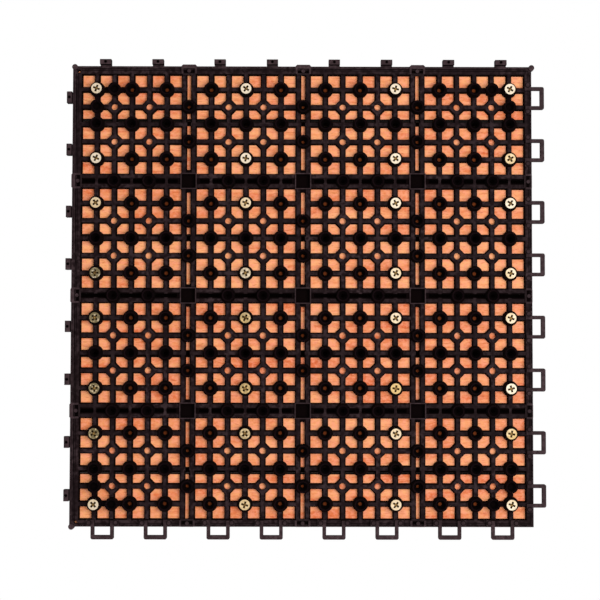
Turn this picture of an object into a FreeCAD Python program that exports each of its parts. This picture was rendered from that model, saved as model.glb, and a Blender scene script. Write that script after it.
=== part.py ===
# Interlocking deck tile, deck side up: wooden slats screwed to a moulded plastic grid.
# All sizes are millimetres. X runs along the slats, Y across them, Z up from the ground.
# The origin is the centre of the tile's square on the ground. Pegs hang from the -X and -Y
# edges, and flat loops stick out of the +X and +Y edges, so tiles hook into each other.

import FreeCAD, Part
import os
import Sketcher

# Driving dimensions: name, value, what it is.
SIZES = (
    ("cells_x", 4, "moulded cells along the slats"),
    ("cells_y", 4, "moulded cells across the slats"),
    ("cell_pitch", 75, "from one cell to the next"),
    ("slot_width", 2.5, "slot between the double rails of two cells"),
    ("rail_width", 3.9, "rail round a cell, under the wood"),
    ("openings_per_side", 6, "openings along one side of a cell"),
    ("rib_root", 4.0, "rib width under the wood"),
    ("rib_face", 3.0, "rib width at its lower face"),
    ("rib_height", 4, "depth of ribs, rails and rim"),
    ("foot_height", 6, "clearance between the ribs and the ground"),
    ("boss_diameter", 10.1, "screw boss in a cell, outside, at the ribs"),
    ("boss_end", 7.9, "lower end of a boss, outside"),
    ("boss_mouth", 7.3, "mouth of a boss, at the ground"),
    ("seat_diameter", 6.3, "edge inside a boss that a screw's head rests on"),
    ("seat_depth", 0.95, "that edge above the ground"),
    ("funnel_depth", 7, "upper end of the cone in a boss"),
    ("bore_diameter", 3.0, "screw hole through a boss"),
    ("rail_boss_diameter", 8.8, "boss that joins two rails, outside"),
    ("rail_bore_clearance", 0.1, "bore of that boss inside each side of the slot"),
    ("corner_boss_diameter", 8.5, "blind boss near the tile's corners, outside"),
    ("diamond_width", 9.8, "flat to flat of a diamond, under the wood"),
    ("drain_diameter", 4.3, "hole through a diamond"),
    ("bridge_width", 1.6, "small rib across a slot that runs along X"),
    ("socket_width", 10.6, "square socket where four cells meet, outside"),
    ("socket_wall", 1.1, "wall of the square socket"),
    ("socket_web", 2.0, "closed end of the slots beside a square socket"),
    ("socket_drop", 1.6, "how far a socket stands out below the ribs"),
    ("socket_floor", 0.8, "floor of the socket, under the wood"),
    ("rim_groove_width", 0.5, "groove between the border rails and the lip of the rim"),
    ("rim_groove_depth", 2.0, "depth of that groove"),
    ("lip_drop", 0.6, "how far the lip stands out below the ribs"),
    ("flange_x", 1.5, "flange past the edge that carries the pegs on -X"),
    ("flange_y", 0.9, "flange past the edge that carries the pegs on -Y"),
    ("flange_rise", 0.6, "flange above the ribs' lower face"),
    ("peg_reach", 4.9, "outer face of a peg from the tile's edge"),
    ("peg_width", 7.4, "peg, along the edge"),
    ("peg_thickness", 3.4, "hanging part of a peg, across the edge"),
    ("peg_lift", 1.2, "lower end of a peg above the ground"),
    ("peg_height", 7.8, "length of a peg"),
    ("peg_root", 0.6, "how far a peg's arm runs into the rim"),
    ("peg_chamfer", 0.8, "lead-in at the lower end of a peg"),
    ("peg_dimple", 1.2, "small blind hole in the end of a peg, its width"),
    ("peg_dimple_depth", 2.0, "depth of that hole"),
    ("loop_width", 15.0, "loop, outside, along the edge"),
    ("loop_reach", 7.9, "outer face of a loop from the tile's edge"),
    ("loop_arm", 2.4, "width of a loop's arms"),
    ("loop_bar", 2.7, "width of a loop's outer bar"),
    ("loop_height", 2.8, "thickness of a loop"),
    ("loop_gap", 0.7, "clearance between a loop and the ribs above it"),
    ("loop_corner", 1.3, "outer corner radius of a loop"),
    ("pad_length", 5.5, "pad at the root of a loop's arm, along the edge"),
    ("pad_width", 3.8, "that pad, across the rim"),
    ("pad_setback", 0.9, "that pad from the tile's edge"),
    ("pad_root", 2.0, "how far a pad runs into the rim above it"),
    ("bump_set", 1.9, "centre of a bump from the pad's outer end"),
    ("bump_diameter", 2.7, "round bump on a pad"),
    ("bump_height", 0.5, "height of that bump"),
    ("collar_width", 10.2, "half socket on an edge, along the edge"),
    ("collar_depth", 5.0, "half socket inward from the tile's edge"),
    ("collar_out", 1.8, "half socket past the edge, beside the pegs"),
    ("collar_drop", 1.4, "how far a half socket stands out below the ribs"),
    ("collar_chamfer", 1.0, "corners of a half socket"),
    ("collar_slot_width", 7.6, "slot in a half socket, along the edge"),
    ("collar_slot_depth", 3.2, "slot in a half socket, across the edge"),
    ("collar_bump", 2.4, "round bump in that slot"),
    ("knob_diameter", 3.8, "round knob on a corner"),
    ("knob_drop", 1.6, "how far a knob stands out below the ribs"),
    ("corner_hole", 1.8, "small hole beside a knob"),
    ("corner_hole_set", 2.8, "that hole from both edges"),
    ("slat_count", 8, "wooden slats"),
    ("slat_gap", 4, "gap between slats"),
    ("slat_thickness", 14, "thickness of a slat"),
    ("slat_edge_radius", 2.0, "eased edges on top of a slat"),
    ("screw_length", 17, "screw from head face to point"),
    ("screw_head", 6.85, "diameter of a screw's head"),
    ("screw_land", 0.4, "straight edge of the head"),
    ("screw_shank", 2.8, "diameter of the shank"),
    ("screw_point", 3.0, "length of the point"),
    ("screw_seat", 0.05, "clearance between a head and its seat"),
    ("recess_width", 4.5, "cross recess, tip to tip"),
    ("recess_wing", 1.3, "width of a wing of the recess"),
    ("recess_depth", 1.4, "depth of the recess"),
    ("recess_draft", 10, "lean of the recess's walls, in degrees"),
    ("pilot_spare", 0.5, "pilot hole past the screw's point"),
)

# Boss columns that hold screws: cell counted from the left or the right, boss column in the cell.
SCREW_COLUMNS = ((0, -1), (1, 0), (-2, 1), (-1, 1))

# How far each screw head was turned, in degrees, slat by slat.
SCREW_TURNS = (
    (20, 35, 15, 30),
    (25, 10, 40, 60),
    (50, 20, 65, 35),
    (5, 70, 30, 15),
    (40, 25, 55, 20),
    (80, 30, 10, 75),
    (60, 45, 25, 10),
    (45, 15, 35, 20),
)

# Derived sizes, as expressions of the sheet.
BASE_HEIGHT = "(sizes.foot_height + sizes.rib_height)"
CELL_SIDE = "(sizes.cell_pitch - sizes.slot_width)"
RIB_PITCH = (
    "((sizes.cell_pitch - sizes.slot_width - 2 * sizes.rail_width + sizes.rib_root)"
    " / sizes.openings_per_side)"
)
HALF_X = "(sizes.cells_x * sizes.cell_pitch / 2)"
HALF_Y = "(sizes.cells_y * sizes.cell_pitch / 2)"
DRAFT = "atan((sizes.rib_root - sizes.rib_face) / 2 / sizes.rib_height)"
SLAT_WIDTH = "((2 * %s - (sizes.slat_count - 1) * sizes.slat_gap) / sizes.slat_count)" % HALF_Y
SLAT_PITCH = "(%s + sizes.slat_gap)" % SLAT_WIDTH
SOCKET_INNER = "(sizes.socket_width - 2 * sizes.socket_wall)"
NOTCH = "((%s - sizes.slot_width) / 2)" % SOCKET_INNER
RIM_INSIDE_X = "(%s - sizes.slot_width / 2)" % HALF_X
RIM_INSIDE_Y = "(%s - sizes.slot_width / 2)" % HALF_Y
LIP_LOW = "(sizes.foot_height - sizes.lip_drop)"
LIP_WIDTH = "(sizes.slot_width / 2 - sizes.rim_groove_width)"
RAIL_BORE = "(sizes.slot_width - 2 * sizes.rail_bore_clearance)"
LOOP_LOW = "(sizes.foot_height - sizes.loop_gap - sizes.loop_height)"
HEAD_FACE = (
    "(sizes.seat_depth - (sizes.screw_head - sizes.seat_diameter) / 2"
    " - sizes.screw_land - sizes.screw_seat)"
)
PILOT_DEPTH = "(%s + sizes.screw_length + sizes.pilot_spare - %s)" % (HEAD_FACE, BASE_HEIGHT)

# Edges: the angle that turns a piece modelled for the +Y edge onto each, and its outward side.
PEG_EDGES = ((90, -1, 0), (180, 0, -1))
LOOP_EDGES = ((-90, 1, 0), (0, 0, 1))

# Corners: sides in X and Y, turn of a block modelled for the first one, hole, knob.
CORNERS = (
    (-1, -1, 0, True, True),
    (-1, 1, -90, True, True),
    (1, -1, 90, False, True),
    (1, 1, 180, False, False),
)

doc = FreeCAD.newDocument("deck_tile")


def make_sheet():
    """The spreadsheet that holds every driving dimension."""
    sheet = doc.addObject("Spreadsheet::Sheet", "sizes")
    for row, (name, value, note) in enumerate(SIZES, start=1):
        sheet.set("A%d" % row, name)
        sheet.set("B%d" % row, str(value))
        sheet.set("C%d" % row, note)
        sheet.setAlias("B%d" % row, name)
    doc.recompute()
    return sheet


sheet = make_sheet()


def value(expression):
    """The number that an expression of the sheet gives."""
    return float(sheet.evalExpression(expression.replace("sizes.", "")))


def count(expression):
    """The whole number that an expression of the sheet gives."""
    return int(round(value(expression)))


def bind(item, **expressions):
    """Bind properties to expressions. A double underscore in a name stands for a dot."""
    for name, expression in expressions.items():
        item.setExpression(name.replace("__", "."), expression)
    return item


def place(item, x="0", y="0", z="0"):
    """Bind an object's position."""
    return bind(item, Placement__Base__x=x, Placement__Base__y=y, Placement__Base__z=z)


def box(name, x, y, z, length, width, height):
    """A Part box with its low corner and its sizes bound to expressions."""
    item = doc.addObject("Part::Box", name)
    bind(item, Length=length, Width=width, Height=height)
    return place(item, x, y, z)


def cylinder(name, x, y, z, diameter, height):
    """An upright Part cylinder bound to expressions."""
    item = doc.addObject("Part::Cylinder", name)
    bind(item, Radius="%s / 2" % diameter, Height=height)
    return place(item, x, y, z)


def centred_box(name, half_x, half_y, z, height):
    """A box centred on the Z axis."""
    return box(name, "-" + half_x, "-" + half_y, z, "2 * " + half_x, "2 * " + half_y, height)


def cut(name, base, tool):
    """One shape with another cut from it."""
    item = doc.addObject("Part::Cut", name)
    item.Base = base
    item.Tool = tool
    return item


def fuse(name, shapes):
    """Several shapes fused into one, with faces that continue each other made one face."""
    item = doc.addObject("Part::MultiFuse", name)
    item.Shapes = shapes
    item.Refine = True
    return item


def compound(name, shapes):
    """Separate solids kept together."""
    item = doc.addObject("Part::Compound", name)
    item.Links = shapes
    return item


def copy_of(source, name, x="0", y="0", z="0", turn=0):
    """A linked copy of an object, turned about Z and placed by expressions."""
    item = doc.addObject("App::Link", name)
    item.LinkedObject = source
    item.LinkTransform = True
    item.Placement = FreeCAD.Placement(
        FreeCAD.Vector(), FreeCAD.Rotation(FreeCAD.Vector(0, 0, 1), turn)
    )
    return place(item, x, y, z)


def new_body(name):
    """An empty body."""
    return doc.addObject("PartDesign::Body", name)


def origin_part(body, role):
    """A plane or an axis of a body's origin."""
    return next(item for item in body.Origin.OriginFeatures if item.Role == role)


def new_sketch(body, name, height="0", plane="XY_Plane"):
    """A sketch parallel to one of the body's planes, lifted by an expression."""
    sketch = body.newObject("Sketcher::SketchObject", name)
    sketch.AttachmentSupport = [(origin_part(body, plane), "")]
    sketch.MapMode = "FlatFace"
    sketch.setExpression("AttachmentOffset.Base.z", height)
    return sketch


def constrain(sketch, name, constraint, expression):
    """Add a named constraint and bind it to an expression."""
    index = sketch.addConstraint(constraint)
    sketch.renameConstraint(index, name)
    sketch.setExpression("Constraints." + name, expression)


def draw_polygon(sketch, name, points):
    """A closed polygon whose corners are bound to pairs of expressions."""
    numbers = [FreeCAD.Vector(value(x), value(y), 0) for x, y in points]
    first = sketch.GeometryCount
    for start, end in zip(numbers, numbers[1:] + numbers[:1]):
        sketch.addGeometry(Part.LineSegment(start, end), False)
    last = len(points) - 1
    for side in range(len(points)):
        following = first + (0 if side == last else side + 1)
        sketch.addConstraint(Sketcher.Constraint("Coincident", first + side, 2, following, 1))
    for corner, (x, y) in enumerate(points):
        spot = numbers[corner]
        line = first + corner
        across = Sketcher.Constraint("DistanceX", -1, 1, line, 1, spot.x)
        along = Sketcher.Constraint("DistanceY", -1, 1, line, 1, spot.y)
        constrain(sketch, "%s_x%d" % (name, corner), across, x)
        constrain(sketch, "%s_y%d" % (name, corner), along, y)


def draw_rectangle(sketch, name, left, low, right, high):
    """A rectangle between two corners given as expressions."""
    draw_polygon(sketch, name, ((left, low), (right, low), (right, high), (left, high)))


def draw_circle(sketch, name, x, y, diameter):
    """A circle with its centre and diameter bound to expressions."""
    centre = FreeCAD.Vector(value(x), value(y), 0)
    circle = Part.Circle(centre, FreeCAD.Vector(0, 0, 1), value(diameter) / 2)
    index = sketch.addGeometry(circle, False)
    across = Sketcher.Constraint("DistanceX", -1, 1, index, 3, centre.x)
    along = Sketcher.Constraint("DistanceY", -1, 1, index, 3, centre.y)
    constrain(sketch, name + "_x", across, x)
    constrain(sketch, name + "_y", along, y)
    size = Sketcher.Constraint("Diameter", index, value(diameter))
    constrain(sketch, name + "_diameter", size, diameter)


def pad(body, name, sketch, length, **more):
    """Raise a sketch. More properties are bound to expressions."""
    feature = body.newObject("PartDesign::Pad", name)
    feature.Profile = sketch
    bind(feature, Length=length, **more)
    return feature


def pocket(body, name, sketch, length, upward=False, **more):
    """Cut a sketch down, or up, into the body. More properties are bound to expressions."""
    feature = body.newObject("PartDesign::Pocket", name)
    feature.Profile = sketch
    feature.Reversed = upward
    bind(feature, Length=length, **more)
    return feature


def box_between(name, low, high):
    """A box between two corners, each three expressions."""
    size = ["(%s) - (%s)" % (far, near) for near, far in zip(low, high)]
    return box(name, low[0], low[1], low[2], size[0], size[1], size[2])


def square(half):
    """The corners of a square round the Z axis."""
    return (("-" + half, "-" + half), (half, "-" + half), (half, half), ("-" + half, half))


def drafted_plate(name, corners, taper):
    """A plate as deep as the ribs, drawn under the wood, whose sides lean by an angle."""
    body = new_body(name)
    outline = new_sketch(body, name + "_outline", BASE_HEIGHT)
    draw_polygon(outline, name, corners)
    plate = pad(body, name + "_plate", outline, "sizes.rib_height", TaperAngle=taper)
    plate.Reversed = True
    return body


def spread(source, name, number, step):
    """Linked copies in equal rows along X and Y, centred on the Z axis."""
    copies = []
    for i in range(number):
        for j in range(number):
            x = "(%g * %s)" % (i - (number - 1) / 2, step)
            y = "(%g * %s)" % (j - (number - 1) / 2, step)
            copies.append(copy_of(source, "%s_%d_%d" % (name, i, j), x, y))
    return copies


def cone(name, z, low_diameter, high_diameter, height):
    """An upright Part cone bound to expressions."""
    item = doc.addObject("Part::Cone", name)
    bind(item, Radius1=low_diameter + " / 2", Radius2=high_diameter + " / 2", Height=height)
    return place(item, z=z)


def funnel(name, bore, depth, through=True):
    """The hollow of a boss: a seat for a screw's head, a cone above it and, if open, a bore."""
    seat = "sizes.seat_depth"
    steps = [
        cylinder(name + "_mouth", "0", "0", "0", "sizes.boss_mouth", seat),
        cone(name + "_cone", seat, "sizes.seat_diameter", bore, "%s - %s" % (depth, seat)),
    ]
    if through:
        steps.append(cylinder(name + "_bore", "0", "0", "0", bore, BASE_HEIGHT))
    return fuse(name, steps)


def solid_boss(name, diameter):
    """A boss before its hollow is cut: it narrows from the ribs to the ground."""
    foot = cone(name + "_foot", "0", "sizes.boss_end", diameter, "sizes.foot_height")
    low = "sizes.foot_height"
    root = cylinder(name + "_root", "0", "0", low, diameter, "sizes.rib_height")
    return fuse(name, [foot, root])


def hollow_boss(name, diameter, hollow):
    """A boss from the ground to the wood with its hollow cut from it."""
    return cut(name, solid_boss(name + "_solid", diameter), hollow)


def make_cell():
    """One cell of the grid: ribs and rails with hollow bosses and flat diamonds between them."""
    side = count("sizes.openings_per_side")
    half = "(%s / 2)" % CELL_SIDE
    inner = "(%s - %s)" % (half, NOTCH)
    low = "sizes.foot_height"
    along = centred_box("cell_along", half, inner, low, "sizes.rib_height")
    across = centred_box("cell_across", inner, half, low, "sizes.rib_height")
    plate = fuse("cell_plate", [along, across])
    reach = "((%s - sizes.rib_root) / 2)" % RIB_PITCH
    opening = drafted_plate("opening", square(reach), DRAFT)
    ribs = cut("ribs", plate, compound("openings", spread(opening, "opening", side, RIB_PITCH)))

    step = "(2 * %s)" % RIB_PITCH
    point = "(sizes.diamond_width / sqrt(2))"
    corners = (("-" + point, "0"), ("0", "-" + point), (point, "0"), ("0", point))
    diamond = drafted_plate("diamond", corners, "-" + DRAFT)
    post = solid_boss("post", "sizes.boss_diameter")
    diamonds = spread(diamond, "diamond", (side - 1) // 2, step)
    posts = spread(post, "post", (side + 1) // 2, step)
    solid = fuse("solid_cell", [ribs] + diamonds + posts)

    drain = cylinder("drain", "0", "0", low, "sizes.drain_diameter", "sizes.rib_height")
    hollow = funnel("funnel", "sizes.bore_diameter", "sizes.funnel_depth")
    drains = spread(drain, "drain", (side - 1) // 2, step)
    hollows = spread(hollow, "funnel", (side + 1) // 2, step)
    return cut("cell", solid, compound("cell_holes", drains + hollows))


def make_socket():
    """The square socket where four cells meet, open to the ground."""
    half = "(sizes.socket_width / 2)"
    inner = "(%s / 2)" % SOCKET_INNER
    low = "(sizes.foot_height - sizes.socket_drop)"
    deep = "(sizes.rib_height + sizes.socket_drop)"
    block = centred_box("socket_block", half, half, low, deep)
    far = "(%s + sizes.socket_web)" % half
    near = "(sizes.slot_width / 2)"
    level = "sizes.foot_height"
    along = centred_box("web_along", far, near, level, "sizes.rib_height")
    across = centred_box("web_across", near, far, level, "sizes.rib_height")
    room = centred_box("socket_room", inner, inner, low, "(%s - sizes.socket_floor)" % deep)
    return cut("socket", fuse("socket_body", [block, along, across]), room)


def make_half_socket(name, out):
    """The raised half socket on an edge, with a slot and a round bump in the slot."""
    body = new_body(name)
    half = "(sizes.collar_width / 2)"
    low = "(sizes.foot_height - sizes.collar_drop)"
    deep = "(sizes.rib_height + sizes.collar_drop)"
    outline = new_sketch(body, name + "_outline", low)
    near = "-sizes.collar_depth"
    outer = "(%s - sizes.collar_chamfer)" % half
    corners = (
        ("-" + outer, near), (outer, near), (half, near + " + sizes.collar_chamfer"),
        (half, out + " - sizes.collar_chamfer"), (outer, out), ("-" + outer, out),
        ("-" + half, out + " - sizes.collar_chamfer"),
        ("-" + half, near + " + sizes.collar_chamfer"),
    )
    draw_polygon(outline, "outline", corners)
    pad(body, name + "_block", outline, deep)
    slot = new_sketch(body, name + "_slot_outline", low)
    slot_half = "(sizes.collar_slot_width / 2)"
    slot_near = "-(%s + sizes.collar_slot_depth)" % LIP_WIDTH
    middle = "-(%s + sizes.collar_slot_depth / 2)" % LIP_WIDTH
    draw_rectangle(slot, "slot", "-" + slot_half, slot_near, slot_half, "-" + LIP_WIDTH)
    slot_deep = "sizes.collar_drop + sizes.rim_groove_depth"
    pocket(body, name + "_slot", slot, slot_deep, upward=True)
    bump = new_sketch(body, name + "_bump_outline", low)
    draw_circle(bump, "bump", "0", middle, "sizes.collar_bump")
    pad(body, name + "_bump", bump, deep)
    return body


def make_peg():
    """A peg that hangs from the flange of the rim, with a lead-in and a dimple in its end."""
    outer = "sizes.peg_reach"
    inner = "(%s - sizes.peg_thickness)" % outer
    half = "(sizes.peg_width / 2)"
    top = "(sizes.peg_lift + sizes.peg_height)"
    body = new_body("peg")
    profile = new_sketch(body, "peg_profile", "0", "YZ_Plane")
    corners = (
        (inner, "sizes.peg_lift"),
        (outer + " - sizes.peg_chamfer", "sizes.peg_lift"),
        (outer, "sizes.peg_lift + sizes.peg_chamfer"),
        (outer, top),
        ("-sizes.peg_root", top),
        ("-sizes.peg_root", "sizes.foot_height"),
        (inner, "sizes.foot_height"),
    )
    draw_polygon(profile, "profile", corners)
    hook = pad(body, "peg_hook", profile, "2 * " + half)
    hook.Midplane = True
    dimple = new_sketch(body, "peg_dimple_outline", "sizes.peg_lift")
    middle = "(%s - sizes.peg_thickness / 2)" % outer
    draw_circle(dimple, "dimple", "0", middle, "sizes.peg_dimple")
    pocket(body, "peg_dimple_hole", dimple, "sizes.peg_dimple_depth", upward=True)
    return body


def make_loop():
    """A flat loop with two arms, each on a pad under the rim, and a bump on each pad."""
    body = new_body("loop")
    half = "(sizes.loop_width / 2)"
    inner = "(%s - sizes.loop_arm)" % half
    root = "-(sizes.pad_setback + sizes.pad_width)"
    outer = "sizes.loop_reach"
    hole = "(sizes.loop_reach - sizes.loop_bar)"
    outline = new_sketch(body, "loop_outline", LOOP_LOW)
    corners = (
        (inner, root), (half, root), (half, outer), ("-" + half, outer),
        ("-" + half, root), ("-" + inner, root), ("-" + inner, hole), (inner, hole),
    )
    draw_polygon(outline, "outline", corners)
    bar = pad(body, "loop_bar", outline, "sizes.loop_height")
    doc.recompute()
    reach = value(outer)
    upright = [
        "Edge%d" % number for number, edge in enumerate(bar.Shape.Edges, start=1)
        if all(abs(vertex.Y - reach) < 1e-6 for vertex in edge.Vertexes)
        and abs(edge.Vertexes[0].Z - edge.Vertexes[-1].Z) > 1e-6
    ]
    rounded = body.newObject("PartDesign::Fillet", "loop_corners")
    rounded.Base = (bar, upright)
    bind(rounded, Radius="sizes.loop_corner")
    roots = new_sketch(body, "pads_outline", LOOP_LOW)
    bumps = new_sketch(body, "bumps_outline", "%s - sizes.bump_height" % LOOP_LOW)
    edge = "-sizes.pad_setback"
    end = "(%s + sizes.pad_length)" % inner
    middle = "(%s - sizes.pad_width / 2)" % edge
    for name, side in (("first", ""), ("second", "-")):
        steps = (
            (side + inner, root), (side + end, root), (side + end, edge),
            (side + half, edge), (side + half, "0"), (side + inner, "0"),
        )
        draw_polygon(roots, name, steps)
        spot = side + "(%s - sizes.bump_set)" % end
        draw_circle(bumps, name, spot, middle, "sizes.bump_diameter")
    deep = "sizes.foot_height + sizes.pad_root - " + LOOP_LOW
    pad(body, "pads", roots, deep)
    pad(body, "bumps", bumps, "sizes.bump_height")
    return body


def moved(shape, x, y, turn=0):
    """A copy of a shape, turned about Z and then moved to numbers taken from the sheet."""
    copy = Part.Compound([shape]).Solids[0].copy()
    copy.rotate(FreeCAD.Vector(), FreeCAD.Vector(0, 0, 1), turn)
    copy.translate(FreeCAD.Vector(value(x), value(y), 0))
    return copy


def cell_x(i):
    """The X of a column of cells."""
    return "((%g - sizes.cells_x / 2) * sizes.cell_pitch)" % (i + 0.5)


def cell_y(j):
    """The Y of a row of cells."""
    return "((%g - sizes.cells_y / 2) * sizes.cell_pitch)" % (j + 0.5)


def line_x(i):
    """The X of the line before a column of cells."""
    return "((%d - sizes.cells_x / 2) * sizes.cell_pitch)" % i


def line_y(j):
    """The Y of the line before a row of cells."""
    return "((%d - sizes.cells_y / 2) * sizes.cell_pitch)" % j


def beside(centre, ribs):
    """A place some ribs away from the centre of a cell."""
    return "(%s + %g * %s)" % (centre, ribs, RIB_PITCH)


def shapes_between_cells(columns, rows):
    """Bosses, bridges and sockets that tie the cells, and the blind bosses by the corners."""
    rail_hollow = funnel("rail_funnel", RAIL_BORE, "sizes.foot_height")
    blind_hollow = funnel("blind_funnel", "sizes.bore_diameter", "sizes.foot_height", False)
    rail_boss = hollow_boss("rail_boss", "sizes.rail_boss_diameter", rail_hollow)
    blind_boss = hollow_boss("blind_boss", "sizes.corner_boss_diameter", blind_hollow)
    bridge = centred_box(
        "bridge", "(sizes.bridge_width / 2)", "(sizes.slot_width / 2)",
        "sizes.foot_height", "sizes.rib_height",
    )
    socket = make_socket()
    doc.recompute()
    shapes = []
    for i in range(1, columns):
        for j in range(rows):
            for rib in (-1, 1):
                shapes.append(moved(rail_boss.Shape, line_x(i), beside(cell_y(j), rib)))
        for j in range(1, rows):
            shapes.append(moved(socket.Shape, line_x(i), line_y(j)))
    for j in range(1, rows):
        # The slot along the tile's middle line is left without bridges.
        bridged = () if 2 * j == rows else (-2, 0, 2)
        for i in range(columns):
            for rib in (-1, 1):
                shapes.append(moved(rail_boss.Shape, beside(cell_x(i), rib), line_y(j)))
            for rib in bridged:
                shapes.append(moved(bridge.Shape, beside(cell_x(i), rib), line_y(j)))
    for i, side_x in ((0, -1), (columns - 1, 1)):
        for j, side_y in ((0, -1), (rows - 1, 1)):
            for ribs_x, ribs_y in ((1, 2), (2, 1)):
                x = beside(cell_x(i), side_x * ribs_x)
                y = beside(cell_y(j), side_y * ribs_y)
                shapes.append(moved(blind_boss.Shape, x, y))
    return shapes


def copies_on_edges(shape, edges, spots_x, spots_y):
    """Copies of a piece modelled for the +Y edge, at their places along some edges."""
    copies = []
    for turn, side_x, side_y in edges:
        if side_x:
            x = "(%d * %s)" % (side_x, HALF_X)
            copies += [moved(shape, x, y, turn) for y in spots_y]
        else:
            y = "(%d * %s)" % (side_y, HALF_Y)
            copies += [moved(shape, x, y, turn) for x in spots_x]
    return copies


def make_ring():
    """The plain border: a lip round the tile with a narrow groove inside it."""
    deep = "(%s - %s)" % (BASE_HEIGHT, LIP_LOW)
    groove_x = "(%s - %s)" % (HALF_X, LIP_WIDTH)
    groove_y = "(%s - %s)" % (HALF_Y, LIP_WIDTH)
    groove_deep = "(sizes.lip_drop + sizes.rim_groove_depth)"
    block = centred_box("rim_block", HALF_X, HALF_Y, LIP_LOW, deep)
    room = centred_box("rim_room", RIM_INSIDE_X, RIM_INSIDE_Y, LIP_LOW, deep)
    groove = centred_box("rim_groove", groove_x, groove_y, LIP_LOW, groove_deep)
    return cut("rim_ring", block, fuse("rim_hollow", [room, groove]))


def make_flanges():
    """The ledges past the edge that carry the pegs."""
    low = "(sizes.foot_height + sizes.flange_rise)"
    far_x = "-(%s + sizes.flange_x)" % HALF_X
    far_y = "-(%s + sizes.flange_y)" % HALF_Y
    edge_x = "-" + HALF_X
    edge_y = "-" + HALF_Y
    left = box_between("flange_left", (far_x, far_y, low), (edge_x, HALF_Y, BASE_HEIGHT))
    top = box_between("flange_top", (edge_x, far_y, low), (HALF_X, edge_y, BASE_HEIGHT))
    return [left, top]


def corner_shapes():
    """The corner blocks, two of them with a small hole, and the knobs on three corners."""
    side = "(sizes.slot_width / 2 + %s)" % NOTCH
    low = "sizes.foot_height"
    block = box("corner_block", "0", "0", low, side, side, "sizes.rib_height")
    spot = "sizes.corner_hole_set"
    hole = cylinder("corner_hole", spot, spot, low, "sizes.corner_hole", "sizes.rib_height")
    holed = cut("holed_corner_block", copy_of(block, "corner_block_copy"), hole)
    knob_low = "(sizes.foot_height - sizes.knob_drop)"
    knob_deep = "(sizes.rib_height + sizes.knob_drop)"
    knob = cylinder("knob", "0", "0", knob_low, "sizes.knob_diameter", knob_deep)
    doc.recompute()
    shapes = []
    for side_x, side_y, turn, has_hole, has_knob in CORNERS:
        x = "(%d * %s)" % (side_x, HALF_X)
        y = "(%d * %s)" % (side_y, HALF_Y)
        shapes.append(moved((holed if has_hole else block).Shape, x, y, turn))
        if has_knob:
            shapes.append(moved(knob.Shape, x, y))
    return shapes


def make_rim(columns, rows):
    """The border of the tile with its half sockets, pegs and loops, as one solid."""
    ring = make_ring()
    flanges = make_flanges()
    peg = make_peg()
    loop = make_loop()
    outer_half_socket = make_half_socket("outer_half_socket", "sizes.collar_out")
    flush_half_socket = make_half_socket("flush_half_socket", "0")
    doc.recompute()
    lines_x = [line_x(i) for i in range(1, columns)]
    lines_y = [line_y(j) for j in range(1, rows)]
    hooks_x = [beside(cell_x(i), ribs) for i in range(columns) for ribs in (-1.5, 1.5)]
    hooks_y = [beside(cell_y(j), ribs) for j in range(rows) for ribs in (-1.5, 1.5)]
    shapes = [moved(flange.Shape, "0", "0") for flange in flanges]
    shapes += copies_on_edges(outer_half_socket.Shape, PEG_EDGES, lines_x, lines_y)
    shapes += copies_on_edges(flush_half_socket.Shape, LOOP_EDGES, lines_x, lines_y)
    shapes += copies_on_edges(peg.Shape, PEG_EDGES, hooks_x, hooks_y)
    shapes += copies_on_edges(loop.Shape, LOOP_EDGES, hooks_x, hooks_y)
    shapes += corner_shapes()
    return moved(ring.Shape, "0", "0").fuse(shapes)


def make_base(columns, rows):
    """The moulded grid as one solid."""
    # Hundreds of ribs, bosses and openings are joined at once here. Kept as linked booleans
    # they take minutes to rebuild, so plain copies of the modelled pieces are joined instead.
    cell = make_cell()
    doc.recompute()
    cells = [moved(cell.Shape, cell_x(i), cell_y(j)) for i in range(columns) for j in range(rows)]
    between = shapes_between_cells(columns, rows)
    rim = make_rim(columns, rows)
    grid = Part.Compound(cells).fuse([Part.Compound(between), rim])
    if len(grid.Solids) != 1:
        raise RuntimeError("the grid is not one solid but %d" % len(grid.Solids))
    base = doc.addObject("Part::Feature", "base_grid")
    base.Shape = grid.Solids[0]
    return base


def slat_middle(row):
    """The Y of a slat's middle line."""
    return "((%g - sizes.slat_count / 2) * %s)" % (row + 0.5, SLAT_PITCH)


def screw_row(row, rows):
    """The Y of the bosses nearest to a slat's middle line."""
    middle = value(slat_middle(row))
    boss_rows = [beside(cell_y(j), ribs) for j in range(rows) for ribs in (-2, 0, 2)]
    return min(boss_rows, key=lambda y: abs(value(y) - middle))


def screw_columns(columns):
    """The X of the screws in every slat."""
    return [beside(cell_x(cell % columns), 2 * boss) for cell, boss in SCREW_COLUMNS]


def make_slat(row, columns, rows):
    """A slat with eased edges on top and blind pilot holes for its screws below."""
    name = "slat_%d" % (row + 1)
    body = new_body(name)
    outline = new_sketch(body, name + "_outline", BASE_HEIGHT)
    half = "(%s / 2)" % SLAT_WIDTH
    draw_rectangle(outline, "outline", "-" + HALF_X, "-" + half, HALF_X, half)
    board = pad(body, name + "_board", outline, "sizes.slat_thickness")
    doc.recompute()
    top = board.Shape.BoundBox.ZMax
    upper = [
        "Edge%d" % number for number, edge in enumerate(board.Shape.Edges, start=1)
        if all(abs(vertex.Z - top) < 1e-6 for vertex in edge.Vertexes)
    ]
    eased = body.newObject("PartDesign::Fillet", name + "_eased_edges")
    eased.Base = (board, upper)
    bind(eased, Radius="sizes.slat_edge_radius")
    pilots = new_sketch(body, name + "_pilots_outline", BASE_HEIGHT)
    y = "(%s - %s)" % (screw_row(row, rows), slat_middle(row))
    for number, x in enumerate(screw_columns(columns)):
        draw_circle(pilots, "pilot_%d" % number, x, y, "sizes.screw_shank")
    pocket(body, name + "_pilots", pilots, PILOT_DEPTH, upward=True)
    return place(body, y=slat_middle(row))


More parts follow.
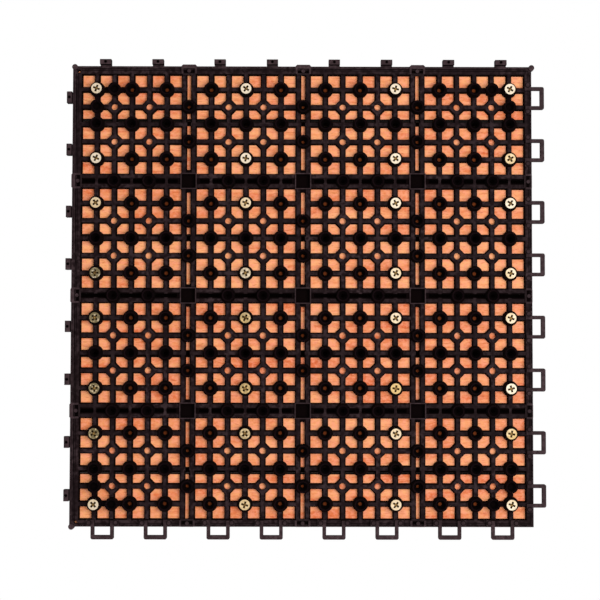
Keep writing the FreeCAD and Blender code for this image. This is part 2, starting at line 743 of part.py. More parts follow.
def make_screw():
    """A countersunk screw, head down, with a cross recess."""
    body = new_body("screw")
    profile = new_sketch(body, "screw_profile", "0", "XZ_Plane")
    head = "sizes.screw_head / 2"
    shank = "sizes.screw_shank / 2"
    shoulder = "%s + sizes.screw_land" % HEAD_FACE
    tip = "%s + sizes.screw_length" % HEAD_FACE
    corners = (
        ("0", HEAD_FACE), (head, HEAD_FACE), (head, shoulder),
        (shank, "%s + %s - %s" % (shoulder, head, shank)),
        (shank, tip + " - sizes.screw_point"), ("0", tip),
    )
    draw_polygon(profile, "profile", corners)
    turned = body.newObject("PartDesign::Revolution", "screw_turned")
    turned.Profile = profile
    turned.ReferenceAxis = (origin_part(body, "Z_Axis"), [""])
    turned.Angle = 360
    recess = new_sketch(body, "recess_outline", HEAD_FACE)
    far = "(sizes.recess_width / 2)"
    wing = "(sizes.recess_wing / 2)"
    cross = (
        (far, "-" + wing), (far, wing), (wing, wing), (wing, far),
        ("-" + wing, far), ("-" + wing, wing), ("-" + far, wing), ("-" + far, "-" + wing),
        ("-" + wing, "-" + wing), ("-" + wing, "-" + far), (wing, "-" + far), (wing, "-" + wing),
    )
    draw_polygon(recess, "recess", cross)
    pocket(body, "recess", recess, "sizes.recess_depth", True, TaperAngle="-sizes.recess_draft")
    return body


def make_screws(screw, row, columns, rows):
    """The four screws of a slat."""
    name = "screws_slat_%d" % (row + 1)
    turns = SCREW_TURNS[row % len(SCREW_TURNS)]
    y = screw_row(row, rows)
    copies = []
    for number, (x, turn) in enumerate(zip(screw_columns(columns), turns), start=1):
        copies.append(copy_of(screw, "%s_%d" % (name, number), x, y, turn=turn))
    return compound(name, copies)


def check_and_write(pieces):
    """Stop on any failed object, then write every piece as it stands."""
    for item in doc.Objects:
        if "Invalid" in item.State or "Error" in item.State:
            raise RuntimeError("%s failed" % item.Name)
    for piece in pieces:
        if piece.Shape.isNull() or not piece.Shape.isValid():
            raise RuntimeError("%s has no sound shape" % piece.Name)
    os.makedirs("parts", exist_ok=True)
    for piece in pieces:
        piece.Shape.exportStep("parts/%s.step" % piece.Label)


def main():
    columns = count("sizes.cells_x")
    rows = count("sizes.cells_y")
    pieces = [make_base(columns, rows)]
    screw = make_screw()
    for row in range(count("sizes.slat_count")):
        pieces.append(make_slat(row, columns, rows))
        pieces.append(make_screws(screw, row, columns, rows))
    doc.recompute()
    check_and_write(pieces)


main()
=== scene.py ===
# Interlocking deck tile seen from below: oiled hardwood slats under a dark moulded grid.
# Metres, in the frame of the solids: X along the slats, Y across them, Z up to the deck.

import math
import random

import bmesh
import bpy
from mathutils import Euler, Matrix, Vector


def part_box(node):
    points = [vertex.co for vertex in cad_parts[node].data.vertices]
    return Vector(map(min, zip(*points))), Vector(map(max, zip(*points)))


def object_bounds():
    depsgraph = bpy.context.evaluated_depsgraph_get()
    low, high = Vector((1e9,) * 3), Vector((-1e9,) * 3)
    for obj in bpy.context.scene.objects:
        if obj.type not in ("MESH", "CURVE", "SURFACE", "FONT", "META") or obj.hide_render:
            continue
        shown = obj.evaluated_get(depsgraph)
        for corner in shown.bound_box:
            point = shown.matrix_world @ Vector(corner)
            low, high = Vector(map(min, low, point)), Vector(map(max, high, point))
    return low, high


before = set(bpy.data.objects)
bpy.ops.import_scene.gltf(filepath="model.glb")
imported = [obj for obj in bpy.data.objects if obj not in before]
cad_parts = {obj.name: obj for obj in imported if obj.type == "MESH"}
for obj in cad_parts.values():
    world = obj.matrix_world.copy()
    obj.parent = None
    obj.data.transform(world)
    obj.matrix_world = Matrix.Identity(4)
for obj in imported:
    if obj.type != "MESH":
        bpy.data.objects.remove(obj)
solid_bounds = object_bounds()

# The photograph looks up at the underside from over a metre away, tilted by some three degrees.
CAMERA_PLACE = (-0.00791, 0.03284, -1.200)
CAMERA_TURN = (183.280, 0.287, -0.099)
CAMERA_VIEW = 18.470
CAMERA_SHIFT = -0.0996
CAMERA_NEAR = 0.01

# Each lamp's name, place, side length and power
LAMPS = (
    ("key_below", (0.42, 0.05, -1.35), 0.70, 15.5),
    ("fill_below", (-0.02, -0.12, -1.25), 0.90, 4.8),
    ("key_above", (-0.75, -0.85, 1.10), 0.70, 17.0),
    ("fill_above", (0.95, 0.45, 0.90), 0.90, 6.0),
)
WHITE = (1.0, 1.0, 1.0, 1.0)
AMBIENT = 0.14

# The floor, and a dark sheet over the deck, seen from below, that paints shade into the gaps between
# the slats
FLOOR_HALF = 1.4
FLOOR_COLOUR = (0.80, 0.79, 0.78, 1.0)
CARD_HALF = 0.1478
CARD_GAP = 0.0006
CARD_SHADE_COLOUR = (0.004, 0.003, 0.003, 1.0)

# Distances on the tile
CELL_PITCH = 0.075
RIB_PITCH = 0.01145
RIB_CORE = 0.0011
DIAMOND_CORE = 0.0040
BOSS_RADIUS = 0.0049
BOSS_RING = 0.0034
CORNER_BOSS = 0.12395
CORNER_RADIUS = 0.0045
SHADED_RIB = 0.0021
GROOVE = 0.1479
BUMP_MIDDLE = 0.1472
BUMP_SET = 0.0087
BUMP_EDGE = 0.0015
PEG_MIDDLE = 0.1532
PEG_SET = 0.017175
SLAT_PITCH = 0.038

# Wood colours: two tones, a pink flush, dark pores, and painted shade in the bores and the gaps
WOOD_LIGHT = (1.000, 0.425, 0.170, 1.0)
WOOD_DARK = (0.740, 0.135, 0.029, 1.0)
WOOD_PINK = (0.975, 0.345, 0.195, 1.0)
WOOD_LINE = (0.460, 0.072, 0.016, 1.0)
WOOD_BORE_SHADE = (0.190, 0.040, 0.0075, 1.0)
WOOD_SHADE = (0.008, 0.003, 0.001, 1.0)
WOOD_SHINE = 0.20

# Wood patterns, in waves per metre along X, Y and Z, and how much each adds to the tone
WARP_WAVES = (3.5, 32.0, 32.0)
FIBRE_WAVES = (20.0, 700.0, 700.0)
PATCH_WAVES = (30.0, 60.0, 60.0)
MOTTLE_WAVES = (300.0, 600.0, 600.0)
PORE_WAVES = (240.0, 1400.0, 1400.0)
FLUSH_WAVES = (450.0, 650.0, 650.0)
RING_WIDTH = 0.0034
RING_WARP = 0.012
RING_WEIGHT = 0.20
FIBRE_WEIGHT = 0.55
PATCH_WEIGHT = 1.45
MOTTLE_WEIGHT = 0.85
FLUSH_WEIGHT = 0.65
PORE_WEIGHT = 0.50
FLUSH_SEED = 9.0
LEAST_WOOD_ROUGH = 0.44
FIBRE_ROUGH = 0.16
PORE_ROUGH = 0.18
FIBRE_RELIEF = 0.35
RING_RELIEF = 0.25
WOOD_BUMP = {"Strength": 0.35, "Distance": 0.00012}

# How the boards differ: where each one's pith lies, how it leans, and its tone
GRAIN_SEED = 7
SEED_MOST = 50.0
PITH_SIDE = 0.030
PITH_DEPTH = (0.030, 0.075)
LEAN_MOST = 0.05
REDNESS_MOST = 0.14

# Ranges over which a mask on the wood goes from 0 to 1
RING_RISE = (0.25, 0.90)
RING_FALL = (1.00, 0.92)
PORES = (0.53, 0.70)
FLUSH = (0.42, 0.62)
TONE = (1.10, 2.02)
SLAT_UNDERSIDE = (0.0108, 0.0103)
UNDER_BOSS = (0.0042, 0.0034)
UNDER_BORE = (0.0016, 0.0007)
OFF_GAP = (0.0034, 0.0040)
IN_GAP = (0.0026, 0.0023)
INSIDE_DECK = (0.1490, 0.1485)
BELOW_DECK_TOP = (0.0230, 0.0215)

# Plastic colours and patterns: painted lit flats, painted shade on walls and bosses, and wear
PLASTIC_SHADE = (0.0030, 0.0013, 0.0014, 1.0)
PLASTIC_LIT = (0.0070, 0.0025, 0.0032, 1.0)
PLASTIC_LIT_WORN = (0.0620, 0.0380, 0.0420, 1.0)
PLASTIC_RING_HIGHLIGHT = (0.0090, 0.0040, 0.0055, 1.0)
PLASTIC_SHINE = 0.03
SKIN_NOISE = {"Scale": 2200.0, "Detail": 2.0}
FLOW_NOISE = {"Scale": 45.0, "Detail": 3.0}
SCUFF_NOISE = {"Scale": 420.0, "Detail": 5.0}
LEAST_WEAR = 0.15
FLOW_WEAR = 0.45
LIP_PAINTED_LIGHT = 0.45
SOCKET_PAINTED_LIGHT = 0.40
LOOP_PAINTED_LIGHT = 0.28
BUMP_PAINTED_LIGHT = 0.06
GROOVE_SHADE = 0.85
BUMP_SHADE = 0.85
LEAST_PLASTIC_ROUGH = 0.48
FLOW_ROUGH = 0.16
WALL_ROUGH = 0.95
SCUFF_RELIEF = 0.6
PLASTIC_BUMP = {"Strength": 0.25, "Distance": 0.00004}

# Ranges over which a mask on the plastic goes from 0 to 1
FLOW = (0.35, 0.70)
SCUFFS = (0.38, 0.66)
LIP = (0.1487, 0.1490)
SOCKET_RING = (0.0057, 0.0054)
SOCKET_END = (0.0050, 0.0048)
LOOP_LEVEL = (0.0029, 0.0027)
BUMP_LEVEL = (0.0023, 0.0021)
LEVEL = (0.60, 0.69)
SHALLOW = (0.0079, 0.0075)
LEDGE = (0.1485, 0.1487)
CORE = (0.0013, 0.0009)
BELOW_RIBS = (0.0059, 0.0057)
OUTSIDE_SOCKET = (0.0046, 0.0048)
OUTSIDE_BOSS = (0.0049, 0.0052)
RIM = (0.1456, 0.1460)
ABOVE_LOOPS = (0.0056, 0.0058)
GROOVE_LINE = (0.0005, 0.0001)
BUMP_LINE = (0.0004, 0.0002)
BOSS_LINE = (0.0005, 0.0001)
OUTSIDE_HOLE = (0.0008, 0.0012)

# Plating colours and patterns
PLATING_LIGHT = (0.37, 0.315, 0.240, 1.0)
PLATING_GOLD = (0.29, 0.20, 0.085, 1.0)
PLATING_DULL = (0.090, 0.070, 0.035, 1.0)
RECESS_SHADE = (0.010, 0.005, 0.002, 1.0)
RECESS_GOLD = (0.160, 0.095, 0.030, 1.0)
BATCH_NOISE = {"Scale": 14.0, "Detail": 0.0}
STAIN_NOISE = {"Scale": 650.0, "Detail": 3.0}
STAIN_GOLD = 0.45
LESS_GOLD = 0.15
MORE_GOLD = 0.60
DULL_MIDDLE = 0.038
LEAST_PLATING_ROUGH = 0.45
STAIN_ROUGH = 0.20
PLATING_BUMP = {"Strength": 0.2, "Distance": 0.00005}

# Ranges over which a mask on the plating goes from 0 to 1
BATCH = (0.42, 0.70)
ALL_GOLD = (0.0, 1.0)
GOLD_ALONG = (0.090, 0.040)
GOLD_ACROSS = (0.0, 0.02)
GOLD_END = (-0.120, -0.100)
DULL_ALONG = (0.02, -0.10)
DULL_ACROSS = (0.085, 0.063)
DULL_STAIN = (0.28, 0.52)
IN_RECESS = (0.000325, 0.000825)
RECESS_MIDDLE = (0.0015, 0.0004)
RECESS_STAIN = (0.30, 0.60)


def node(tree, kind, inputs=None, **settings):
    """A shader node with its settings, and its inputs set or linked."""
    made = tree.nodes.new("ShaderNode" + kind)
    for name, value in settings.items():
        setattr(made, name, value)
    for socket, value in (inputs or {}).items():
        if isinstance(value, bpy.types.NodeSocket):
            tree.links.new(value, made.inputs[socket])
        else:
            made.inputs[socket].default_value = value
    return made


def maths(tree, operation, first, second=0.0, third=0.0):
    """The result of a maths node."""
    return node(tree, "Math", {0: first, 1: second, 2: third}, operation=operation).outputs[0]


def product(tree, first, *others):
    """Several values multiplied."""
    for other in others:
        first = maths(tree, "MULTIPLY", first, other)
    return first


def blend_colours(tree, factor, first, second):
    """One colour mixed into another by a factor."""
    mixed = node(tree, "Mix", {0: factor, 6: first, 7: second}, data_type="RGBA")
    return mixed.outputs[2]


def spread(tree, value, start, end):
    """A mask that goes smoothly from 0 at the start of a range to 1 at its end."""
    inputs = {0: value, 1: start, 2: end, 3: 0.0, 4: 1.0}
    return node(tree, "MapRange", inputs, interpolation_type="SMOOTHSTEP").outputs[0]


def line(tree, value, middle, edges):
    """A mask that is 1 along a line, where the value is at its middle."""
    off = maths(tree, "ABSOLUTE", maths(tree, "SUBTRACT", value, middle))
    return spread(tree, off, *edges)


def dimmed(tree, light, mask, amount):
    """A mask made weaker where another one is 1."""
    return product(tree, light, maths(tree, "MULTIPLY_ADD", mask, -amount, 1.0))


def parted(tree, place):
    """The X, Y and Z of a place."""
    return node(tree, "SeparateXYZ", {0: place}).outputs


def length(tree, first, second):
    """The length of a flat vector."""
    flat = node(tree, "CombineXYZ", {0: first, 1: second}).outputs[0]
    return node(tree, "VectorMath", {0: flat}, operation="LENGTH").outputs["Value"]


def noise(tree, place, settings):
    """Plain noise."""
    return node(tree, "TexNoise", {"Vector": place, **settings}).outputs[0]


def grain_noise(tree, place, waves, seed, detail=3.0, roughness=0.55):
    """Noise drawn out along the slat. Its frequencies are waves per metre in X, Y and Z."""
    stretched = node(tree, "VectorMath", {0: place, 1: waves}, operation="MULTIPLY").outputs[0]
    inputs = {"Vector": stretched, "W": seed, "Scale": 1.0, "Detail": detail, "Roughness": roughness}
    return node(tree, "TexNoise", inputs, noise_dimensions="4D").outputs[0]


def in_cell(tree, axes):
    """The place along X and along Y, counted from the middle of its cell."""
    moved = [maths(tree, "SUBTRACT", axes[axis], CELL_PITCH / 2) for axis in ("X", "Y")]
    return [maths(tree, "WRAP", value, CELL_PITCH / 2, -CELL_PITCH / 2) for value in moved]


def off_row(tree, value, pitch):
    """The distance to the nearest of a row of lines."""
    nearest = maths(tree, "SNAP", maths(tree, "ADD", value, pitch / 2), pitch)
    return maths(tree, "ABSOLUTE", maths(tree, "SUBTRACT", value, nearest))


def off_pair(tree, value, half):
    """The distance to the nearer of two lines, one on each side of the middle."""
    return maths(tree, "ABSOLUTE", maths(tree, "SUBTRACT", maths(tree, "ABSOLUTE", value), half))


def boss_distance(tree, cell):
    """The distance sideways to the nearest boss: nine in a cell, and two on each of its sides."""
    nearest = length(tree, *[off_row(tree, value, 2 * RIB_PITCH) for value in cell])
    for first, second in (cell, cell[::-1]):
        on_side = off_pair(tree, first, CELL_PITCH / 2)
        beside = length(tree, on_side, off_pair(tree, second, RIB_PITCH))
        nearest = maths(tree, "MINIMUM", nearest, beside)
    return nearest


def corner_distance(tree, axes):
    """The distance to the blind bosses, and to the ribs in the tile's corners that are painted
    shaded like them.
    """
    out = [maths(tree, "ABSOLUTE", axes[axis]) for axis in ("X", "Y")]
    nearest = 1.0
    for first, second in (out, out[::-1]):
        along = maths(tree, "SUBTRACT", first, CORNER_BOSS)
        across = maths(tree, "SUBTRACT", second, CORNER_BOSS + RIB_PITCH)
        blind = maths(tree, "ADD", length(tree, along, across), BOSS_RADIUS - CORNER_RADIUS)
        beyond_rib = maths(tree, "SUBTRACT", maths(tree, "ABSOLUTE", along), RIB_PITCH)
        bar = maths(tree, "MAXIMUM", beyond_rib, maths(tree, "ABSOLUTE", across))
        bar = maths(tree, "ADD", bar, BOSS_RADIUS - SHADED_RIB)
        nearest = maths(tree, "MINIMUM", nearest, maths(tree, "MINIMUM", blind, bar))
    return nearest


def new_group(name, inputs=()):
    """An empty shader group that puts out a colour, a roughness and a normal."""
    group = bpy.data.node_groups.new(name, "ShaderNodeTree")
    for socket, kind in inputs:
        group.interface.new_socket(socket, in_out="INPUT", socket_type="NodeSocket" + kind)
    for socket, kind in (("Color", "Color"), ("Roughness", "Float"), ("Normal", "Vector")):
        group.interface.new_socket(socket, in_out="OUTPUT", socket_type="NodeSocket" + kind)
    return group


def put_out(group, colour, roughness, height, bump):
    """Link what a group puts out."""
    bumped = node(group, "Bump", {"Height": height, **bump}).outputs[0]
    result = group.nodes.new("NodeGroupOutput")
    group.links.new(colour, result.inputs["Color"])
    group.links.new(roughness, result.inputs["Roughness"])
    group.links.new(bumped, result.inputs["Normal"])


def make_wood_group():
    """Oiled hardwood: growth rings round a pith beside the slat, fibres, pores and patches, with
    painted shade.
    """
    group = new_group("oiled_wood", (
        ("Seed", "Float"), ("Pith", "Vector"), ("Lean", "Vector"), ("Redness", "Float"),
    ))
    given = group.nodes.new("NodeGroupInput").outputs
    seed = given["Seed"]
    place = node(group, "TexCoord").outputs["Object"]

    mapped = node(group, "Mapping", {
        "Vector": place, "Location": given["Pith"], "Rotation": given["Lean"],
    }).outputs[0]
    from_pith = parted(group, mapped)
    radius = length(group, from_pith["Y"], from_pith["Z"])
    warp = grain_noise(group, place, WARP_WAVES, seed, detail=2.0)
    radius = maths(group, "MULTIPLY_ADD", warp, RING_WARP, radius)
    phase = maths(group, "FRACT", maths(group, "DIVIDE", radius, RING_WIDTH))
    rings = product(group, spread(group, phase, *RING_RISE), spread(group, phase, *RING_FALL))

    fibre = grain_noise(group, place, FIBRE_WAVES, seed, detail=4.0, roughness=0.6)
    patch = grain_noise(group, place, PATCH_WAVES, seed, detail=2.0)
    mottle = grain_noise(group, place, MOTTLE_WAVES, seed, detail=3.0, roughness=0.7)
    pores = spread(group, grain_noise(group, place, PORE_WAVES, seed), *PORES)
    flush = grain_noise(group, place, FLUSH_WAVES, maths(group, "ADD", seed, FLUSH_SEED))
    flush = product(group, spread(group, flush, *FLUSH), FLUSH_WEIGHT)

    tone = product(group, rings, RING_WEIGHT)
    tone = maths(group, "MULTIPLY_ADD", fibre, FIBRE_WEIGHT, tone)
    tone = maths(group, "MULTIPLY_ADD", patch, PATCH_WEIGHT, tone)
    tone = maths(group, "MULTIPLY_ADD", mottle, MOTTLE_WEIGHT, tone)
    tone = maths(group, "ADD", tone, given["Redness"])
    colour = blend_colours(group, spread(group, tone, *TONE), WOOD_LIGHT, WOOD_DARK)
    colour = blend_colours(group, flush, colour, WOOD_PINK)
    colour = blend_colours(group, product(group, pores, PORE_WEIGHT), colour, WOOD_LINE)

    # Painted shade: the wood under the bosses, seen through their bores, and in the gaps between the
    # slats is darkened.
    axes = parted(group, place)
    boss = boss_distance(group, in_cell(group, axes))
    off_gap = off_row(group, axes["Y"], SLAT_PITCH)
    below = spread(group, axes["Z"], *SLAT_UNDERSIDE)
    boss_shade = product(group, spread(group, boss, *UNDER_BOSS), below)
    gap_shade = product(
        group,
        spread(group, off_gap, *IN_GAP),
        spread(group, maths(group, "ABSOLUTE", axes["Y"]), *INSIDE_DECK),
        spread(group, axes["Z"], *BELOW_DECK_TOP),
    )
    shade = maths(group, "MAXIMUM", boss_shade, gap_shade)
    # The middles of the bores, away from the gaps, get a lighter brown painted shade.
    stain_and_bore_shade = product(group, spread(group, boss, *UNDER_BORE), spread(group, off_gap, *OFF_GAP))
    bore_and_gap_shade = blend_colours(group, stain_and_bore_shade, WOOD_SHADE, WOOD_BORE_SHADE)
    colour = blend_colours(group, shade, colour, bore_and_gap_shade)

    rough = maths(group, "MULTIPLY_ADD", fibre, FIBRE_ROUGH, LEAST_WOOD_ROUGH)
    rough = maths(group, "MULTIPLY_ADD", pores, PORE_ROUGH, rough)
    rough = maths(group, "MAXIMUM", rough, shade)
    relief = maths(group, "MULTIPLY_ADD", fibre, FIBRE_RELIEF, product(group, rings, RING_RELIEF))
    relief = maths(group, "SUBTRACT", relief, pores)
    put_out(group, colour, rough, relief, WOOD_BUMP)
    return group


def plastic_wear_and_light(tree, axes, out, from_corner, flow, scuffs):
    """How light scuffs and flow wear have made the flats. The lip, socket ends, loops and bumps are
    lighter still, by painted light.
    """
    wear_and_light = maths(tree, "MULTIPLY_ADD", spread(tree, flow, *FLOW), FLOW_WEAR, LEAST_WEAR)
    wear_and_light = product(tree, wear_and_light, spread(tree, scuffs, *SCUFFS))
    # Painted light on the lip, patchy with the scuffs, and on the socket ends, loops and bumps.
    lip = product(tree, spread(tree, out, *LIP), scuffs)
    wear_and_light = maths(tree, "MULTIPLY_ADD", lip, LIP_PAINTED_LIGHT, wear_and_light)
    end = spread(tree, axes["Z"], *SOCKET_END)
    end = product(tree, spread(tree, from_corner, *SOCKET_RING), end)
    wear_and_light = maths(tree, "MULTIPLY_ADD", end, SOCKET_PAINTED_LIGHT, wear_and_light)
    wear_and_light = maths(tree, "MULTIPLY_ADD", spread(tree, axes["Z"], *LOOP_LEVEL), LOOP_PAINTED_LIGHT, wear_and_light)
    return maths(tree, "MULTIPLY_ADD", spread(tree, axes["Z"], *BUMP_LEVEL), BUMP_PAINTED_LIGHT, wear_and_light)


def painted_lit_faces(tree, axes, cell, out, from_corner, boss):
    """A mask that is 1 on the faces painted as lit, the ones wear reaches, and 0 on walls, edges and
    bosses, painted as shaded.
    """
    facing = parted(tree, node(tree, "TexCoord").outputs["Normal"])
    flat = spread(tree, maths(tree, "ABSOLUTE", facing["Z"]), *LEVEL)
    shallow = spread(tree, axes["Z"], *SHALLOW)
    shallow = maths(tree, "MAXIMUM", shallow, spread(tree, out, *LEDGE))

    # The middles of ribs and diamonds are painted lit, and so is what stands out below the ribs.
    rib = maths(tree, "MINIMUM", *[off_row(tree, value, RIB_PITCH) for value in cell])
    slope = maths(tree, "ADD", *[off_pair(tree, value, RIB_PITCH) for value in cell])
    slope = product(tree, slope, math.sqrt(0.5))
    diamond = maths(tree, "SUBTRACT", slope, DIAMOND_CORE - RIB_CORE)
    core = spread(tree, maths(tree, "MINIMUM", rib, diamond), *CORE)
    core = maths(tree, "MAXIMUM", core, spread(tree, axes["Z"], *BELOW_RIBS))

    # Sockets are painted lit only along their outer edges, and bosses not at all. The rim is painted
    # lit.
    core = product(tree, core, spread(tree, from_corner, *OUTSIDE_SOCKET))
    core = product(tree, core, spread(tree, boss, *OUTSIDE_BOSS))
    core = maths(tree, "MAXIMUM", core, spread(tree, out, *RIM))
    return product(tree, flat, shallow, core)


def without_painted_shade(tree, light, axes, cell, out):
    """The painted lit faces less painted shade: a line by the rim's groove, rings round the bumps,
    and the holes in the pegs.
    """
    groove_shade = line(tree, out, GROOVE, GROOVE_LINE)
    groove_shade = product(tree, groove_shade, spread(tree, axes["Z"], *ABOVE_LOOPS))
    light = dimmed(tree, light, groove_shade, GROOVE_SHADE)
    for across, along in ((axes["X"], cell[1]), (axes["Y"], cell[0])):
        beside = off_pair(tree, along, PEG_SET)
        from_bump = maths(tree, "SUBTRACT", across, BUMP_MIDDLE)
        from_bump = length(tree, from_bump, off_pair(tree, beside, BUMP_SET))
        light = dimmed(tree, light, line(tree, from_bump, BUMP_EDGE, BUMP_LINE), BUMP_SHADE)
        from_peg = length(tree, maths(tree, "ADD", across, PEG_MIDDLE), beside)
        light = product(tree, light, spread(tree, from_peg, *OUTSIDE_HOLE))
    return light


def make_plastic_group():
    """Moulded plastic: painted lit flats, scuffed and with flow marks, and near-black painted shade
    on walls, edges and bosses.
    """
    group = new_group("moulded_plastic")
    place = node(group, "TexCoord").outputs["Object"]
    skin = noise(group, place, SKIN_NOISE)
    flow = noise(group, place, FLOW_NOISE)
    scuffs = noise(group, place, SCUFF_NOISE)
    axes = parted(group, place)
    out = maths(group, "MAXIMUM", *[maths(group, "ABSOLUTE", axes[axis]) for axis in ("X", "Y")])
    cell = in_cell(group, axes)
    from_corner = [off_pair(group, value, CELL_PITCH / 2) for value in cell]
    from_corner = maths(group, "MAXIMUM", *from_corner)
    boss = maths(group, "MINIMUM", boss_distance(group, cell), corner_distance(group, axes))

    light = painted_lit_faces(group, axes, cell, out, from_corner, boss)
    light = without_painted_shade(group, light, axes, cell, out)
    wear_and_light = plastic_wear_and_light(group, axes, out, from_corner, flow, scuffs)
    lit_and_worn = blend_colours(group, wear_and_light, PLASTIC_LIT, PLASTIC_LIT_WORN)
    # A faint painted highlight ring round each boss, inside its painted shade.
    ring_highlight = line(group, boss, BOSS_RING, BOSS_LINE)
    painted_shade = blend_colours(group, ring_highlight, PLASTIC_SHADE, PLASTIC_RING_HIGHLIGHT)
    # Painted light and shade: the lit colour where the mask is 1, the shaded colour elsewhere.
    colour = blend_colours(group, light, painted_shade, lit_and_worn)

    rough = maths(group, "MULTIPLY_ADD", flow, FLOW_ROUGH, LEAST_PLASTIC_ROUGH)
    wall = maths(group, "MULTIPLY_ADD", light, -WALL_ROUGH, WALL_ROUGH)
    rough = maths(group, "MAXIMUM", rough, wall)
    relief = maths(group, "MULTIPLY_ADD", scuffs, SCUFF_RELIEF, skin)
    put_out(group, colour, rough, relief, PLASTIC_BUMP)
    return group


def make_plating_group():
    """Yellow zinc plating: cream on most screws, golden or dull on some, with fine scratches and
    painted shade in the recesses.
    """
    group = new_group("zinc_plating")
    place = node(group, "TexCoord").outputs["Object"]
    axes = parted(group, place)
    batch = spread(group, noise(group, place, BATCH_NOISE), *BATCH)
    stain_and_bore_shade = noise(group, place, STAIN_NOISE)
    golden = product(
        group,
        spread(group, axes["X"], *GOLD_ALONG),
        spread(group, axes["Y"], *GOLD_ACROSS),
        spread(group, axes["X"], *GOLD_END),
    )
    gold = maths(group, "MULTIPLY_ADD", stain_and_bore_shade, STAIN_GOLD, batch)
    gold = maths(group, "SUBTRACT", gold, LESS_GOLD)
    gold = maths(group, "MULTIPLY_ADD", golden, MORE_GOLD, gold)
    colour = blend_colours(group, spread(group, gold, *ALL_GOLD), PLATING_LIGHT, PLATING_GOLD)

    # The screws on one side of the tile are duller and darker.
    across = maths(group, "ABSOLUTE", maths(group, "SUBTRACT", axes["Y"], DULL_MIDDLE))
    dull = product(
        group,
        spread(group, axes["X"], *DULL_ALONG),
        spread(group, across, *DULL_ACROSS),
        spread(group, stain_and_bore_shade, *DULL_STAIN),
    )
    colour = blend_colours(group, dull, colour, PLATING_DULL)

    # The recesses are painted with shade, lighter and golden in the middle.
    middle = spread(group, boss_distance(group, in_cell(group, axes)), *RECESS_MIDDLE)
    middle = product(group, middle, spread(group, stain_and_bore_shade, *RECESS_STAIN))
    recess = blend_colours(group, middle, RECESS_SHADE, RECESS_GOLD)
    colour = blend_colours(group, spread(group, axes["Z"], *IN_RECESS), colour, recess)

    rough = maths(group, "MULTIPLY_ADD", stain_and_bore_shade, STAIN_ROUGH, LEAST_PLATING_ROUGH)
    put_out(group, colour, rough, stain_and_bore_shade, PLATING_BUMP)
    return group


def new_material(name):
    """An empty material with its output node."""
    material = bpy.data.materials.new(name)
    material.use_nodes = True
    material.node_tree.nodes.clear()
    return material, material.node_tree, node(material.node_tree, "OutputMaterial")


def grouped_material(name, group, values=None, **shader):
    """A material whose colour, roughness and normal come from a group."""
    material, tree, output = new_material(name)
    source = node(tree, "Group", values, node_tree=group).outputs
    inputs = {
        "Base Color": source["Color"],
        "Roughness": source["Roughness"],
        "Normal": source["Normal"],
    }
    inputs.update(shader)
    principled = node(tree, "BsdfPrincipled", inputs)
    tree.links.new(principled.outputs[0], output.inputs[0])
    return material


def one_sided_material(name, colour):
    """A plain matt material that shows only on its front side."""
    material, tree, output = new_material(name)
    matt = node(tree, "BsdfDiffuse", {"Color": colour})
    clear = node(tree, "BsdfTransparent")
    back = node(tree, "NewGeometry").outputs["Backfacing"]
    mixed = node(tree, "MixShader", {0: back, 1: matt.outputs[0], 2: clear.outputs[0]})
    tree.links.new(mixed.outputs[0], output.inputs[0])
    return material


def give_material(piece, material):
    """Use one material all over a piece."""
    piece.data.materials.clear()
    piece.data.materials.append(material)


def finish_slats():
    """Each slat is cut from another board, so each has its own rings and tone."""
    group = make_wood_group()
    chance = random.Random(GRAIN_SEED)
    for name in sorted(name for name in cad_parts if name.startswith("slat_")):
        low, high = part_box(name)
        middle = (low + high) / 2
        side = chance.uniform(-PITH_SIDE, PITH_SIDE)
        depth = chance.choice((-1, 1)) * chance.uniform(*PITH_DEPTH)
        values = {
            "Seed": chance.uniform(0.0, SEED_MOST),
            "Pith": (0.0, -(middle.y + side), -(middle.z + depth)),
            "Lean": (0.0, *[chance.uniform(-LEAN_MOST, LEAN_MOST) for _ in range(2)]),
            "Redness": chance.uniform(-REDNESS_MOST, REDNESS_MOST),
        }
        shine = {"Specular IOR Level": WOOD_SHINE}
        give_material(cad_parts[name], grouped_material("wood_" + name, group, values, **shine))


def finish_grid():
    """The moulded grid."""
    shine = {"Specular IOR Level": PLASTIC_SHINE}
    material = grouped_material("dark_plastic", make_plastic_group(), **shine)
    give_material(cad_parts["base_grid"], material)


def finish_screws():
    """All the screws."""
    material = grouped_material("plated_steel", make_plating_group(), Metallic=1.0)
    for name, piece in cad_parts.items():
        if name.startswith("screws_"):
            give_material(piece, material)


def plane(name, half, height, upward, material):
    """A square plane of the stage that faces up or down."""
    shape = bmesh.new()
    bmesh.ops.create_grid(shape, x_segments=1, y_segments=1, size=half)
    bmesh.ops.translate(shape, verts=shape.verts, vec=(0.0, 0.0, height))
    if not upward:
        bmesh.ops.reverse_faces(shape, faces=shape.faces)
    mesh = bpy.data.meshes.new(name)
    shape.to_mesh(mesh)
    shape.free()
    piece = bpy.data.objects.new(name, mesh)
    bpy.context.scene.collection.objects.link(piece)
    give_material(piece, material)
    return piece


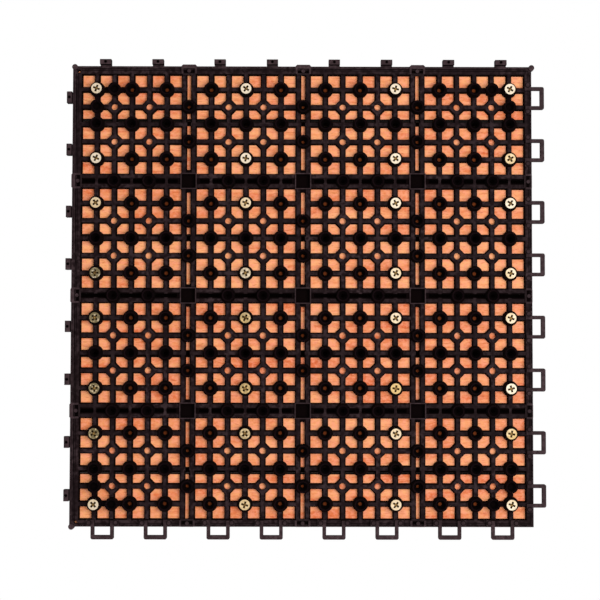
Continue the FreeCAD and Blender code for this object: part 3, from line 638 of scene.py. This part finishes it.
def make_stage():
    """The floor under the feet, seen from above, and the painted-shade sheet, seen from below."""
    pale = one_sided_material("pale_floor", FLOOR_COLOUR)
    painted_shade = one_sided_material("gap_shade_sheet", CARD_SHADE_COLOUR)
    floor = plane("floor", FLOOR_HALF, solid_bounds[0][2], True, pale)
    card = plane("gap_shade_sheet", CARD_HALF, solid_bounds[1][2] + CARD_GAP, False, painted_shade)

    # The lamps below shine through the floor, and no light comes back from it.
    for ray in ("diffuse", "glossy", "transmission", "shadow"):
        setattr(floor, "visible_" + ray, False)
    card.visible_shadow = False


def make_world():
    """White for what looks at it straight or by reflection, and a soft even light for the rest."""
    world = bpy.data.worlds.new("studio")
    bpy.context.scene.world = world
    world.use_nodes = True
    tree = world.node_tree
    tree.nodes.clear()
    rays = node(tree, "LightPath").outputs
    seen = maths(tree, "MAXIMUM", rays["Is Camera Ray"], rays["Is Glossy Ray"])
    seen = maths(tree, "MAXIMUM", seen, rays["Is Transmission Ray"])
    soft = node(tree, "Background", {"Color": WHITE, "Strength": AMBIENT})
    white = node(tree, "Background", {"Color": WHITE, "Strength": 1.0})
    mixed = node(tree, "MixShader", {0: seen, 1: soft.outputs[0], 2: white.outputs[0]})
    output = node(tree, "OutputWorld")
    tree.links.new(mixed.outputs[0], output.inputs[0])


def make_lamps():
    """Square soft lamps that all point at the tile."""
    for name, place, size, power in LAMPS:
        lamp = bpy.data.lights.new(name, "AREA")
        lamp.shape = "SQUARE"
        lamp.size = size
        lamp.energy = power
        holder = bpy.data.objects.new(name, lamp)
        holder.location = place
        holder.rotation_euler = (-Vector(place)).to_track_quat("-Z", "Y").to_euler()
        bpy.context.scene.collection.objects.link(holder)


def make_camera():
    """The camera at the photograph's place."""
    lens = bpy.data.cameras.new("camera")
    lens.sensor_fit = "HORIZONTAL"
    lens.angle = math.radians(CAMERA_VIEW)
    lens.shift_y = CAMERA_SHIFT
    lens.clip_start = CAMERA_NEAR
    camera = bpy.data.objects.new("camera", lens)
    camera.location = CAMERA_PLACE
    camera.rotation_euler = Euler([math.radians(turn) for turn in CAMERA_TURN])
    bpy.context.scene.collection.objects.link(camera)
    bpy.context.scene.camera = camera


finish_slats()
finish_grid()
finish_screws()
make_stage()
make_world()
make_lamps()
make_camera()
bpy.context.scene.view_settings.view_transform = "Standard"
